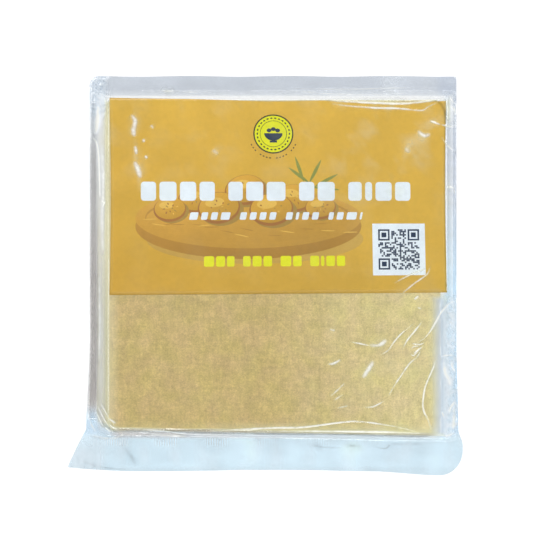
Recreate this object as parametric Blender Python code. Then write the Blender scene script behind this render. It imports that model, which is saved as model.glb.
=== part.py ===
"""A sealed clear pouch that holds a square stack of rice paper wrappers under a printed label sheet.

Three solids, lying flat as the pack lies on a table:
  pouch          the bag out to its outer form, with its flat seals and loose lower flap, cut round what it holds
  wrapper_stack  the stack of wrappers, leaning so that its lower sheets reach further left and forward
  label_sheet    the printed sheet that lies on the stack, behind the front film

Frame: metres, +X to the right of the label, +Y towards its head, +Z up.
The origin is at the middle of the whole pack's footprint, on the table.
"""

import math
import random

import bmesh
import bpy
from mathutils import Matrix, Vector

MM = 0.001

# Driving dimensions
SHEET_SIDE = 200 * MM
STACK_HEIGHT = 12 * MM
POUCH_WIDTH = 240.4 * MM
POUCH_LENGTH = 241.8 * MM
LABEL_WIDTH = 203.6 * MM
LABEL_LENGTH = 119.4 * MM

# Thicknesses. Films and paper are thinner than this in life: see stand_ins in the record.
FILM_THICKNESS = 0.4 * MM
LABEL_THICKNESS = 0.4 * MM
FLANGE_THICKNESS = 0.8 * MM
FOLDED_SEAL_THICKNESS = 1.4 * MM
GAP = 0.3 * MM

# The stack, placed by its top sheet. The lean is how far the bottom sheet lies from it.
STACK_BUNDLES = 12
STACK_LEFT = -94.6 * MM
STACK_FRONT = -94.1 * MM
STACK_LEAN = Vector((-7.3 * MM, -2.6 * MM))
STACK_RIGHT_SPREAD = 1.2 * MM
STACK_FRONT_SPREAD = 1.7 * MM
SHEET_CORNER = 3.0 * MM
PRESSED_CORNER = 6.0 * MM
PRESSED_CORNER_BELOW = 11.0 * MM
BUNDLE_SLIP = 0.25 * MM
STEP_SLOPE = 0.05 * MM
STACK_SEED = 7

# The pouch's straight edges, its rounded corners and how the loose flap widens and waves
POUCH_LEFT = -106.9 * MM
POUCH_RIGHT = 116.4 * MM
HEAD_LEFT_CORNER = 6.0 * MM
FLAP_RIGHT_CORNER = 13.0 * MM
CUT_CORNER = 0.6 * MM
HEAD_SEAL = 10.4 * MM
FLAP_EDGE = -118.8 * MM
FLAP_EDGE_WAVE = 0.5 * MM
FLAP_EDGE_WAVELENGTH = 155 * MM
FLAP_LEFT_RISE = 2.2 * MM
FLARE_START = -94 * MM
LEFT_TAPER = 2.0 * MM
RIGHT_TAPER = 1.1 * MM
TAPER_START = -40 * MM
FLAP_LIFT = 3.0 * MM
LONG_WAVE = 46 * MM
SHORT_WAVE = 27 * MM

# The walls of the pouch between its flat seals and the stack's upper edge
POCKET_CLEARANCE = 0.6 * MM
WALL_FOOT = 1.0 * MM
RIM_WIDTH = 0.8 * MM
RIM_BELOW_STACK = 1.2 * MM
FOOT_LEFT = POUCH_LEFT + 3.0 * MM
FOOT_RIGHT = 110.4 * MM
FOOT_CORNER = 7.0 * MM

# The label, placed by its upper left corner. It hangs over the stack on the right and at the head.
LABEL_LEFT = -94.1 * MM
LABEL_HEAD = 107.4 * MM
LABEL_HEAD_FALL = 1.7 * MM
LABEL_HEAD_SAG = 1.3 * MM
LABEL_TAPER = 3.2 * MM
LABEL_FOOT_SPREAD = 0.7 * MM
LABEL_SIDE_BOW = 0.9 * MM
LABEL_DROOP = 1.0 * MM
LABEL_BEND_START = 1.4 * MM
LABEL_BEND_END = 6.0 * MM
LABEL_HEAD_BEND = 0.5 * MM
LABEL_BEND_STEPS = 6
LABEL_COLUMNS = 36
LABEL_ROWS = 20

SIDE_POINTS = 46
CORNER_POINTS = 7

FLOOR_Z = FILM_THICKNESS
STACK_Z = FLOOR_Z + GAP
STACK_TOP_Z = STACK_Z + STACK_HEIGHT
RIM_Z = STACK_TOP_Z - RIM_BELOW_STACK
LABEL_Z = STACK_TOP_Z + GAP
STACK_RIGHT = STACK_LEFT + SHEET_SIDE
STACK_HEAD = STACK_FRONT + SHEET_SIDE
POUCH_HEAD = POUCH_LENGTH / 2
FLAP_SEAL = STACK_FRONT + STACK_LEAN.y - POCKET_CLEARANCE - WALL_FOOT
FLAP_DEPTH = FLAP_SEAL - FLAP_EDGE
FOOT_HEAD = POUCH_HEAD - HEAD_SEAL
LEFT_FLARE = POUCH_WIDTH / 2 + POUCH_LEFT - LEFT_TAPER
RIGHT_FLARE = POUCH_WIDTH / 2 - POUCH_RIGHT - RIGHT_TAPER
FLAP_RIGHT_SAG = POUCH_LENGTH / 2 + FLAP_EDGE


def clear_scene():
    for obj in list(bpy.data.objects):
        bpy.data.objects.remove(obj, do_unlink=True)


def make_material(name, colour, roughness, alpha=1.0):
    material = bpy.data.materials.new(name)
    material.use_nodes = True
    shader = material.node_tree.nodes["Principled BSDF"]
    shader.inputs["Base Color"].default_value = (*colour, 1.0)
    shader.inputs["Roughness"].default_value = roughness
    shader.inputs["Metallic"].default_value = 0.0
    shader.inputs["Alpha"].default_value = alpha
    return material


def add_object(name, bm, material, smooth_angle):
    """Makes the finished bmesh into a named object of its own."""
    bmesh.ops.recalc_face_normals(bm, faces=bm.faces)
    mesh = bpy.data.meshes.new(name)
    bm.to_mesh(mesh)
    bm.free()
    mesh.materials.append(material)
    mesh.shade_smooth()
    mesh.set_sharp_from_angle(angle=smooth_angle)
    obj = bpy.data.objects.new(name, mesh)
    bpy.context.scene.collection.objects.link(obj)
    return obj


def ramp(start, end, value):
    """0 before start and 1 after end, with a smooth rise between."""
    share = min(1.0, max(0.0, (value - start) / (end - start)))
    return share * share * (3 - 2 * share)


def rounded_quad(corners, radii):
    """A four-sided outline as 2D points, anticlockwise from the front left corner, each corner an arc.

    Every outline made here has the same number of points on each side and corner, so any two can be bridged.
    """
    arcs = []
    for index, corner in enumerate(corners):
        before = (corners[index - 1] - corner).normalized()
        after = (corners[(index + 1) % 4] - corner).normalized()
        half_angle = before.angle(after) / 2
        centre = corner + (before + after).normalized() * (radii[index] / math.sin(half_angle))
        spoke = corner + before * (radii[index] / math.tan(half_angle)) - centre
        sweep = math.pi - 2 * half_angle
        turns = [Matrix.Rotation(sweep * step / (CORNER_POINTS - 1), 2) for step in range(CORNER_POINTS)]
        arcs.append([centre + turn @ spoke for turn in turns])
    points = []
    for index, arc in enumerate(arcs):
        start, end = arc[-1], arcs[(index + 1) % 4][0]
        points += arc
        points += [start.lerp(end, step / (SIDE_POINTS + 1)) for step in range(1, SIDE_POINTS + 1)]
    return points


def box_corners(left, right, front, head):
    return [Vector((left, front)), Vector((right, front)), Vector((right, head)), Vector((left, head))]


def add_ring(bm, outline, height):
    """One closed row of vertices. height is a number, or a function of x and y."""
    place = height if callable(height) else lambda x, y: height
    return [bm.verts.new((p.x, p.y, place(p.x, p.y))) for p in outline]


def bridge(bm, lower, upper):
    count = len(lower)
    for index in range(count):
        after = (index + 1) % count
        bm.faces.new((lower[index], lower[after], upper[after], upper[index]))


def flap_share(y):
    """How far a point lies into the loose flap: 0 at its seal, 1 at its free edge."""
    return min(1.0, max(0.0, (FLAP_SEAL - y) / FLAP_DEPTH))


def flap_wave(x, y):
    """The height of the loose flap's waves, which grow towards its free edge."""
    long_part = 0.34 * math.sin(2 * math.pi * x / LONG_WAVE + 0.6)
    short_part = 0.16 * math.sin(2 * math.pi * x / SHORT_WAVE + 2.1)
    return FLAP_LIFT * flap_share(y) ** 1.5 * (0.5 + long_part + short_part)


def flared(point):
    """Widens the pouch towards its open end, which the vacuum didn't draw in, and bends that end's edge."""
    across = min(1.0, max(0.0, (point.x - POUCH_LEFT) / (POUCH_RIGHT - POUCH_LEFT)))
    taper = ramp(TAPER_START, FLARE_START, point.y)
    opening = max(0.0, (FLARE_START - point.y) / (FLARE_START - FLAP_EDGE))
    left = (LEFT_TAPER * taper + LEFT_FLARE * opening**0.85) * (1 - across) ** 3
    right = (RIGHT_TAPER * taper + RIGHT_FLARE * ramp(0.0, 0.35, opening)) * across**3
    edge = FLAP_EDGE_WAVE * math.cos(2 * math.pi * (point.x - 5 * MM) / FLAP_EDGE_WAVELENGTH)
    edge += FLAP_LEFT_RISE * (1 - across) ** 12 - FLAP_RIGHT_SAG * ramp(0.76, 0.95, across)
    return Vector((point.x - left + right, point.y + edge * flap_share(point.y)))


def pouch_outline():
    corners = box_corners(POUCH_LEFT, POUCH_RIGHT, FLAP_EDGE, POUCH_HEAD)
    radii = (CUT_CORNER, FLAP_RIGHT_CORNER, CUT_CORNER, HEAD_LEFT_CORNER)
    return [flared(p) for p in rounded_quad(corners, radii)]


def stack_corners(lean_share, margin=0.0):
    """The corners of the sheets at one level: lean_share is 0 at the top of the stack and 1 at its bottom."""
    shift = STACK_LEAN * lean_share
    left, right = STACK_LEFT - margin, STACK_RIGHT + margin
    front, head = STACK_FRONT - margin, STACK_HEAD + margin
    corners = box_corners(left, right, front, head)
    corners[0].y += STACK_FRONT_SPREAD
    corners[1] += Vector((STACK_RIGHT_SPREAD, -STACK_FRONT_SPREAD))
    return [corner + shift for corner in corners]


def stack_radii(lean_share, extra=0.0):
    """The corners' radii at one level. The front left corner is pressed in, and more so further down."""
    pressed = PRESSED_CORNER + (PRESSED_CORNER_BELOW - PRESSED_CORNER) * lean_share
    return (pressed + extra, SHEET_CORNER + extra, SHEET_CORNER + extra, SHEET_CORNER + extra)


def build_pouch(material):
    outline = pouch_outline()
    at_foot = stack_corners(1.0, POCKET_CLEARANCE + WALL_FOOT)
    foot_corners = [
        Vector((FOOT_LEFT, at_foot[0].y)),
        Vector((FOOT_RIGHT, at_foot[1].y)),
        Vector((FOOT_RIGHT, FOOT_HEAD)),
        Vector((FOOT_LEFT, FOOT_HEAD)),
    ]
    foot = rounded_quad(foot_corners, (FOOT_CORNER,) * 4)
    rim_lean = RIM_BELOW_STACK / STACK_HEIGHT
    rim_inside = rounded_quad(stack_corners(rim_lean, POCKET_CLEARANCE), stack_radii(rim_lean, POCKET_CLEARANCE))
    rim_margin = POCKET_CLEARANCE + RIM_WIDTH
    rim_outside = rounded_quad(stack_corners(rim_lean, rim_margin), stack_radii(rim_lean, rim_margin))
    pocket_floor = rounded_quad(stack_corners(1.0, POCKET_CLEARANCE), stack_radii(1.0, POCKET_CLEARANCE))

    def flange_top(x, y):
        folded = ramp(FOOT_LEFT + 1 * MM, FOOT_LEFT - 1 * MM, x) * (1 - flap_share(y))
        return flap_wave(x, y) + FLANGE_THICKNESS + (FOLDED_SEAL_THICKNESS - FLANGE_THICKNESS) * folded

    bm = bmesh.new()
    flange_shares = (0.0, 0.25, 0.5, 0.75)
    between = [[o.lerp(f, share) for o, f in zip(outline, foot)] for share in flange_shares]
    under = [add_ring(bm, ring, flap_wave) for ring in reversed(between)]
    over = [add_ring(bm, ring, flange_top) for ring in between]
    under.insert(0, add_ring(bm, foot, 0.0))
    over.append(add_ring(bm, foot, FLANGE_THICKNESS))
    over.append(add_ring(bm, rim_outside, RIM_Z))
    over.append(add_ring(bm, rim_inside, RIM_Z))
    over.append(add_ring(bm, pocket_floor, FLOOR_Z))
    rings = under + over
    for lower, upper in zip(rings, rings[1:]):
        bridge(bm, lower, upper)
    bm.faces.new(reversed(rings[0]))
    bm.faces.new(rings[-1])
    return add_object("pouch", bm, material, math.radians(35))


def build_wrapper_stack(material):
    """Bundles of sheets, each a little out of line with the next, that climb the stack's lean."""
    slip = random.Random(STACK_SEED)
    bundle_height = STACK_HEIGHT / STACK_BUNDLES
    bm = bmesh.new()
    rings = []
    for bundle in range(STACK_BUNDLES):
        lean = 1 - (bundle + 0.5) / STACK_BUNDLES
        aside = Vector((slip.uniform(-1, 1), slip.uniform(-1, 1))) * BUNDLE_SLIP
        outline = [p + aside for p in rounded_quad(stack_corners(lean), stack_radii(lean))]
        low = STACK_Z + bundle * bundle_height
        rings.append(add_ring(bm, outline, low + (STEP_SLOPE if bundle else 0.0)))
        last = bundle == STACK_BUNDLES - 1
        rings.append(add_ring(bm, outline, low + bundle_height - (0.0 if last else STEP_SLOPE)))
    for lower, upper in zip(rings, rings[1:]):
        bridge(bm, lower, upper)
    bm.faces.new(reversed(rings[0]))
    bm.faces.new(rings[-1])
    return add_object("wrapper_stack", bm, material, math.radians(30))


def label_point(u, v):
    """A point of the label, u across from its left edge and v down from its head.

    Its sides bow inwards a little, and its head edge sags.
    """
    bow = LABEL_SIDE_BOW * math.sin(math.pi * v) * (1 - 2 * u)
    x = LABEL_LEFT + (LABEL_WIDTH + LABEL_FOOT_SPREAD * v) * u + bow
    sag = LABEL_HEAD_SAG * math.sin(math.pi * u) * (1 - v)
    length = LABEL_LENGTH - LABEL_TAPER * u
    return Vector((x, LABEL_HEAD - LABEL_HEAD_FALL * u - length * v - sag))


def label_droop(x, y):
    """How far the label's edge hangs down where no sheet is under it."""
    past_right = ramp(STACK_RIGHT + LABEL_BEND_START, STACK_RIGHT + LABEL_BEND_END, x)
    past_head = ramp(STACK_HEAD + LABEL_HEAD_BEND, LABEL_HEAD + 1 * MM, y)
    return LABEL_DROOP * max(past_right, past_head)


def label_stations(count, flat_share, bend_count, reverse=False):
    """Shares from 0 to 1, even over the flat part of the label and closer together over its bent edge."""
    flat = [flat_share * step / count for step in range(count)]
    bent = [flat_share + (1 - flat_share) * step / bend_count for step in range(bend_count + 1)]
    shares = flat + bent
    return sorted(1 - share for share in shares) if reverse else shares


def build_label_sheet(material):
    across = label_stations(LABEL_COLUMNS, 0.965, LABEL_BEND_STEPS)
    down = label_stations(LABEL_ROWS, 0.975, LABEL_BEND_STEPS, reverse=True)
    bm = bmesh.new()
    layers = []
    for rise in (0.0, LABEL_THICKNESS):
        points = [[label_point(u, v) for u in across] for v in down]
        heights = [[LABEL_Z + rise - label_droop(p.x, p.y) for p in row] for row in points]
        layers.append([[bm.verts.new((p.x, p.y, z)) for p, z in zip(*pair)] for pair in zip(points, heights)])
    for layer in layers:
        for row, below in zip(layer, layer[1:]):
            for i in range(len(row) - 1):
                bm.faces.new((row[i], row[i + 1], below[i + 1], below[i]))
    under, over = layers
    edges = [(under[0], over[0]), (under[-1], over[-1])]
    edges += [([row[side] for row in under], [row[side] for row in over]) for side in (0, -1)]
    for low, high in edges:
        for i in range(len(low) - 1):
            bm.faces.new((low[i], low[i + 1], high[i + 1], high[i]))
    return add_object("label_sheet", bm, material, math.radians(30))


def main():
    clear_scene()
    build_pouch(make_material("clear_film", (0.80, 0.88, 0.94), 0.15, alpha=0.35))
    build_wrapper_stack(make_material("rice_paper", (0.60, 0.46, 0.22), 0.55))
    build_label_sheet(make_material("printed_label", (0.67, 0.43, 0.10), 0.45))


main()
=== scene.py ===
"""Looks of the sealed pack of rice paper wrappers: clear film, wrappers, printed label, light and camera.

Shapes are worked out in millimetres in the part's own frame, and become metres when a mesh is made.
"""

import math
import random

import bpy
import numpy as np
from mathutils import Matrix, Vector, noise
from mathutils.geometry import delaunay_2d_cdt


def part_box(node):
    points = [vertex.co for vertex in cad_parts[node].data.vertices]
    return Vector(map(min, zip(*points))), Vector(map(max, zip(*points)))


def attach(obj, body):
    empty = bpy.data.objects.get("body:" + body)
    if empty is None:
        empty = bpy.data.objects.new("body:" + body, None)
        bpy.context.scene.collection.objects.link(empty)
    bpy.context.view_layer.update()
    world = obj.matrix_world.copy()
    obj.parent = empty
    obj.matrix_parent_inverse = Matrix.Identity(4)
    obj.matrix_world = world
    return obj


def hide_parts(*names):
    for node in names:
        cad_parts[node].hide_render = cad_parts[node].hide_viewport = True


MM = 0.001
TAU = 2 * math.pi

# The frame, in millimetres

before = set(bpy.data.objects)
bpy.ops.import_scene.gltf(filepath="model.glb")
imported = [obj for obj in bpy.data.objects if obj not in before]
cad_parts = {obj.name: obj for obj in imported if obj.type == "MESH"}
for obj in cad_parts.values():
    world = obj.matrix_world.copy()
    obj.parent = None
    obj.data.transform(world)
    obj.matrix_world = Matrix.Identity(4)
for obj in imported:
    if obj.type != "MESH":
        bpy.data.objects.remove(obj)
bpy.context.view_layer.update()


def box_mm(node):
    return [np.array(corner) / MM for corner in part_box(node)]


POUCH_LOW, POUCH_HIGH = box_mm("pouch")
STACK_LOW, STACK_HIGH = box_mm("wrapper_stack")
LABEL_LOW, LABEL_HIGH = box_mm("label_sheet")

# The stack: its top sheet, and how far the bottom sheet lies from it
SHEET_SIDE = 200.0
LEAN = np.array((-7.3, -2.6))
RIGHT_SPREAD = 1.2
FRONT_SPREAD = 1.7
TOP_LEFT = STACK_HIGH[0] - RIGHT_SPREAD - SHEET_SIDE
TOP_RIGHT = TOP_LEFT + SHEET_SIDE
TOP_HEAD = STACK_HIGH[1]
TOP_FRONT = TOP_HEAD - SHEET_SIDE
STACK_TOP = STACK_HIGH[2]
STACK_BASE = STACK_LOW[2]
SHEET_COUNT = 75
SHEET_THICKNESS = 0.12
PRESSED_CORNER = (11.0, 6.0)

# The label, as in the part's source
LABEL_LENGTH = LABEL_HIGH[1] - LABEL_LOW[1]
LABEL_FOOT_WIDTH = LABEL_HIGH[0] - LABEL_LOW[0]
LABEL_HEAD_FALL = 1.7
LABEL_TAPER = 3.2
LABEL_FOOT_SPREAD = 0.7
LABEL_SIDE_BOW = 0.9

# The pouch's outline, as in the part's source
POUCH_LEFT = POUCH_LOW[0] + 13.3
POUCH_RIGHT = POUCH_HIGH[0] - 3.8
FLAP_EDGE = POUCH_LOW[1] + 2.4
FLARE_START = -94.0
LEFT_TAPER = 2.0
RIGHT_TAPER = 1.1
TAPER_START = -40.0
FLAP_SEAL = TOP_FRONT + LEAN[1] - 1.6
HEAD_SEAL = POUCH_HIGH[1] - 10.4
SEAL_TOP = 0.6

# Places that the film's creases are measured from
FRONT_RIGHT = np.array((STACK_HIGH[0], STACK_LOW[1]))
FRONT_LEFT = STACK_LOW[:2]
HEAD_RIGHT = LABEL_HIGH[:2]
HEAD_LEFT = np.array((LABEL_LOW[0], LABEL_HIGH[1]))


# Curves and fields. A field takes an (n, 2) array of points.


def ramp(start, end, value):
    """0 before start and 1 after end, with a smooth rise between."""
    share = np.clip((value - start) / (end - start), 0.0, 1.0)
    return share * share * (3 - 2 * share)


def soft_clamp(share, softness):
    """share held between 0 and 1, with both ends rounded."""
    return 0.5 * (1 + np.hypot(share, softness) - np.hypot(share - 1, softness))


def cloud(points, size, seed, stretch=(1.0, 1.0)):
    """Smooth noise from about -1 to 1, with lumps about size across."""
    scaled = points / (size * np.array(stretch))
    return np.array([noise.noise(Vector((x, y, seed))) for x, y in scaled])


ROUTE_STEP = 0.8


def smooth_route(route):
    """Points about ROUTE_STEP apart on a smooth curve through the route's own points."""
    route = np.asarray(route, float)
    padded = np.vstack([2 * route[0] - route[1], route, 2 * route[-1] - route[-2]])
    points = []
    for before, start, end, after in zip(padded, padded[1:], padded[2:], padded[3:]):
        count = max(2, round(np.linalg.norm(end - start) / ROUTE_STEP))
        t = np.linspace(0, 1, count, endpoint=False)[:, None]
        points.append(
            start
            + 0.5 * t * (end - before)
            + t**2 * (before - 2.5 * start + 2 * end - 0.5 * after)
            + t**3 * (1.5 * start - 0.5 * before - 1.5 * end + 0.5 * after)
        )
    return np.vstack([*points, route[-1:]])


def from_path(points, path):
    """How far each point lies from a path, and the share of the path's length at its nearest place."""
    lengths = np.linalg.norm(np.diff(path, axis=0), axis=1)
    done = np.concatenate([[0], np.cumsum(lengths)])
    nearest = np.full(len(points), np.inf)
    along = np.zeros(len(points))
    for index, (start, end) in enumerate(zip(path, path[1:])):
        run = end - start
        t = np.clip((points - start) @ run / (run @ run), 0, 1)
        distance = np.linalg.norm(points - start - t[:, None] * run, axis=1)
        closer = distance < nearest
        nearest[closer] = distance[closer]
        along[closer] = done[index] + t[closer] * lengths[index]
    return nearest, along / done[-1]


def from_outline(points, outline):
    """How far each point lies from a closed outline."""
    return from_path(points, np.vstack([outline, outline[:1]]))[0]


def inside(points, outline):
    """True for each point that lies inside a closed outline."""
    result = np.zeros(len(points), bool)
    x, y = points.T
    for (x0, y0), (x1, y1) in zip(outline, np.roll(outline, -1, axis=0)):
        if y0 != y1:
            crosses = (y0 > y) != (y1 > y)
            result ^= crosses & (x < x0 + (y - y0) * (x1 - x0) / (y1 - y0))
    return result


def rounded_quad(corners, radii, side_points, corner_points):
    """A four-sided outline, anticlockwise from the front left corner, each corner an arc."""
    arcs = []
    for index, corner in enumerate(corners):
        before = corners[index - 1] - corner
        after = corners[(index + 1) % 4] - corner
        before, after = before / np.linalg.norm(before), after / np.linalg.norm(after)
        half = math.acos(np.clip(before @ after, -1, 1)) / 2
        middle = before + after
        centre = corner + middle / np.linalg.norm(middle) * (radii[index] / math.sin(half))
        spoke = corner + before * (radii[index] / math.tan(half)) - centre
        turns = np.linspace(0, math.pi - 2 * half, corner_points)
        arcs.append([centre + turned(spoke, angle) for angle in turns])
    points = []
    for index, arc in enumerate(arcs):
        start, end = arc[-1], arcs[(index + 1) % 4][0]
        points += arc
        points += [start + (end - start) * s for s in np.linspace(0, 1, side_points + 2)[1:-1]]
    return np.array(points)


def turned(vector, angle):
    cosine, sine = math.cos(angle), math.sin(angle)
    return np.array((vector[0] * cosine - vector[1] * sine, vector[0] * sine + vector[1] * cosine))


def box_corners(left, right, front, head):
    return np.array([(left, front), (right, front), (right, head), (left, head)], float)


# Meshes


def triangulate(outlines, loose):
    """Triangles inside the first outline, cut along all the others and through the loose points.

    Gives the points, the triangles and, for each triangle, the last outline that holds it.
    """
    coordinates = [Vector(p) for p in np.vstack([*outlines, loose])]
    faces, start = [], 0
    for outline in outlines:
        faces.append(list(range(start, start + len(outline))))
        start += len(outline)
    points, _, triangles, _, _, holders = delaunay_2d_cdt(coordinates, [], faces, 1, 1e-6, True)
    held = [(triangle, max(holder)) for triangle, holder in zip(triangles, holders) if holder]
    return np.array([p[:] for p in points]), [t for t, _ in held], [h for _, h in held]


def spread_points(outline, spacing_at, steps):
    """Grid points inside an outline, closer together where spacing_at asks for it."""
    low, high = outline.min(0), outline.max(0)
    kept = []
    for level, step in enumerate(steps):
        axes = [np.arange(math.ceil(a / step), math.floor(b / step) + 1) for a, b in zip(low, high)]
        index = np.stack(np.meshgrid(*axes), -1).reshape(-1, 2)
        if level:
            index = index[(index % 2).any(axis=1)]
        grid = index * step
        if level:
            grid = grid[spacing_at(grid) < steps[level - 1] * 0.99]
        grid = grid[inside(grid, outline)]
        kept.append(grid[from_outline(grid, outline) > 0.4 * step])
    return np.vstack(kept)


def even_points(outline, step):
    return spread_points(outline, lambda grid: np.full(len(grid), step), (step,))


def front_and_back(front, back, count):
    """The faces of a front, and those of a back turned round, whose points follow count front points."""
    return [tuple(face) for face in front] + [tuple(count + i for i in reversed(face)) for face in back]


def make_piece(name, points, faces, materials, smooth=True):
    mesh = bpy.data.meshes.new(name)
    mesh.from_pydata((np.asarray(points) * MM).tolist(), [], [tuple(face) for face in faces])
    for material in materials:
        mesh.materials.append(material)
    mesh.polygons.foreach_set("use_smooth", [smooth] * len(mesh.polygons))
    mesh.validate()
    mesh.update()
    piece = bpy.data.objects.new(name, mesh)
    bpy.context.scene.collection.objects.link(piece)
    return piece


def set_floats(piece, name, values):
    layer = piece.data.attributes.new(name, "FLOAT", "POINT")
    layer.data.foreach_set("value", np.asarray(values, np.float32))


def set_colours(piece, name, colours, domain="POINT"):
    layer = piece.data.color_attributes.new(name, "FLOAT_COLOR", domain)
    opaque = np.hstack([colours, np.ones((len(colours), 1))])
    layer.data.foreach_set("color", opaque.astype(np.float32).ravel())


# The pouch's form


def flap_share(y):
    """0 at the lower seal and 1 at the flap's edge."""
    return np.clip((FLAP_SEAL - y) / (FLAP_SEAL - FLAP_EDGE), 0.0, 1.0)


def pouch_outline():
    """The pouch seen from above: drawn in by its contents, and wider at its open end."""
    corners = box_corners(POUCH_LEFT, POUCH_RIGHT, FLAP_EDGE, POUCH_HIGH[1])
    points = rounded_quad(corners, (0.6, 13.0, 0.6, 6.0), side_points=150, corner_points=10)
    x, y = points.T
    across = np.clip((x - POUCH_LEFT) / (POUCH_RIGHT - POUCH_LEFT), 0, 1)
    taper = ramp(TAPER_START, FLARE_START, y)
    opening = np.clip((FLARE_START - y) / (FLARE_START - FLAP_EDGE), 0, None)
    left_flare = POUCH_LEFT - POUCH_LOW[0] - LEFT_TAPER
    right_flare = POUCH_HIGH[0] - POUCH_RIGHT - RIGHT_TAPER
    left = (LEFT_TAPER * taper + left_flare * opening**0.85) * (1 - across) ** 3
    right = (RIGHT_TAPER * taper + right_flare * ramp(0, 0.35, opening)) * across**3
    edge = 0.5 * np.cos(TAU * (x - 5) / 155) + 2.2 * (1 - across) ** 12
    edge -= (FLAP_EDGE - POUCH_LOW[1]) * ramp(0.76, 0.95, across)
    ripple = 0.25 * np.sin(TAU * x / 61) * ramp(HEAD_SEAL, POUCH_HIGH[1], y)
    return np.stack([x - left + right, y + edge * flap_share(y) + ripple], axis=1)


def flap_wave(points):
    """How high the loose flap's waves lift it."""
    x, y = points.T
    long_part = 0.34 * np.sin(TAU * x / 46 + 0.6)
    short_part = 0.16 * np.sin(TAU * x / 27 + 2.1)
    return 3.0 * flap_share(y) ** 1.5 * (0.5 + long_part + short_part)


def front_edge(x):
    """The front edge of the top sheet, which runs a little out of square."""
    return TOP_FRONT + FRONT_SPREAD * (1 - 2 * (x - TOP_LEFT) / SHEET_SIDE)


def right_edge(y):
    return TOP_RIGHT + RIGHT_SPREAD * (1 - (y - TOP_FRONT) / SHEET_SIDE)


# How far beyond the top sheet's left and front edges the front film starts to come down
BEND_START = 0.9


def sides(points):
    """How far the front film has come down at each side of the pack: 0 at the top and 1 at the seal."""
    x, y = points.T
    left = soft_clamp((TOP_LEFT - BEND_START - x) / -LEAN[0], 0.1)
    front_top = front_edge(x) - BEND_START
    front = soft_clamp((front_top - y) / (0.3 - LEAN[1]), 0.12)
    from_corner = ((x - TOP_LEFT) + (y - front_edge(x))) / math.sqrt(2)
    corner = soft_clamp((1.5 - from_corner) / 5.0, 0.1)
    by_label = ramp(LABEL_LOW[1] - 12, LABEL_LOW[1] + 2, y)
    right_top = right_edge(y) + 0.6 - 1.2 * by_label
    right_share = (x - right_top) / (POUCH_RIGHT - 1.6 - right_top)
    right = (1 - by_label) * soft_clamp(right_share, 0.1)
    right += by_label * np.clip(right_share, 0, 1) ** 5
    head_share = (y - TOP_HEAD + 0.3) / (HEAD_SEAL + 0.8 - TOP_HEAD + 0.3)
    head = np.clip(head_share, 0, 1) ** 2.4
    return np.stack([left, front, corner, right, head])


def pack_surface(points):
    """The height of the film's inner side, without the contents' own small steps and waves."""
    return SEAL_TOP + (STACK_TOP - SEAL_TOP) * (1 - sides(points).max(axis=0))


# How far the label lies over the top sheet, and the film over what it covers
LABEL_STEP = 0.25
FILM_STEP = 0.2


def rest_height(points):
    """How far the top sheet's gentle waves stand above the stack's plain top."""
    return 0.12 + 0.07 * cloud(points, 30, 21.0) + 0.04 * cloud(points, 9, 22.0)


def label_share(points):
    """1 over the label, falling to 0 a little beyond its edges."""
    x, y = points.T
    across = ramp(LABEL_LOW[0] - 2.5, LABEL_LOW[0] - 0.3, x)
    return across * ramp(LABEL_LOW[1] - 3.0, LABEL_LOW[1] - 0.3, y)


def looseness(points):
    """Where the front film doesn't cling: 0 over the left of the stack, 1 at its front right."""
    x, y = points.T
    return ramp(10, 75, x) * ramp(30, -45, y)


# The film's folds. Each is its strength, its half width, and its route from the corner that names the list.

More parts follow.
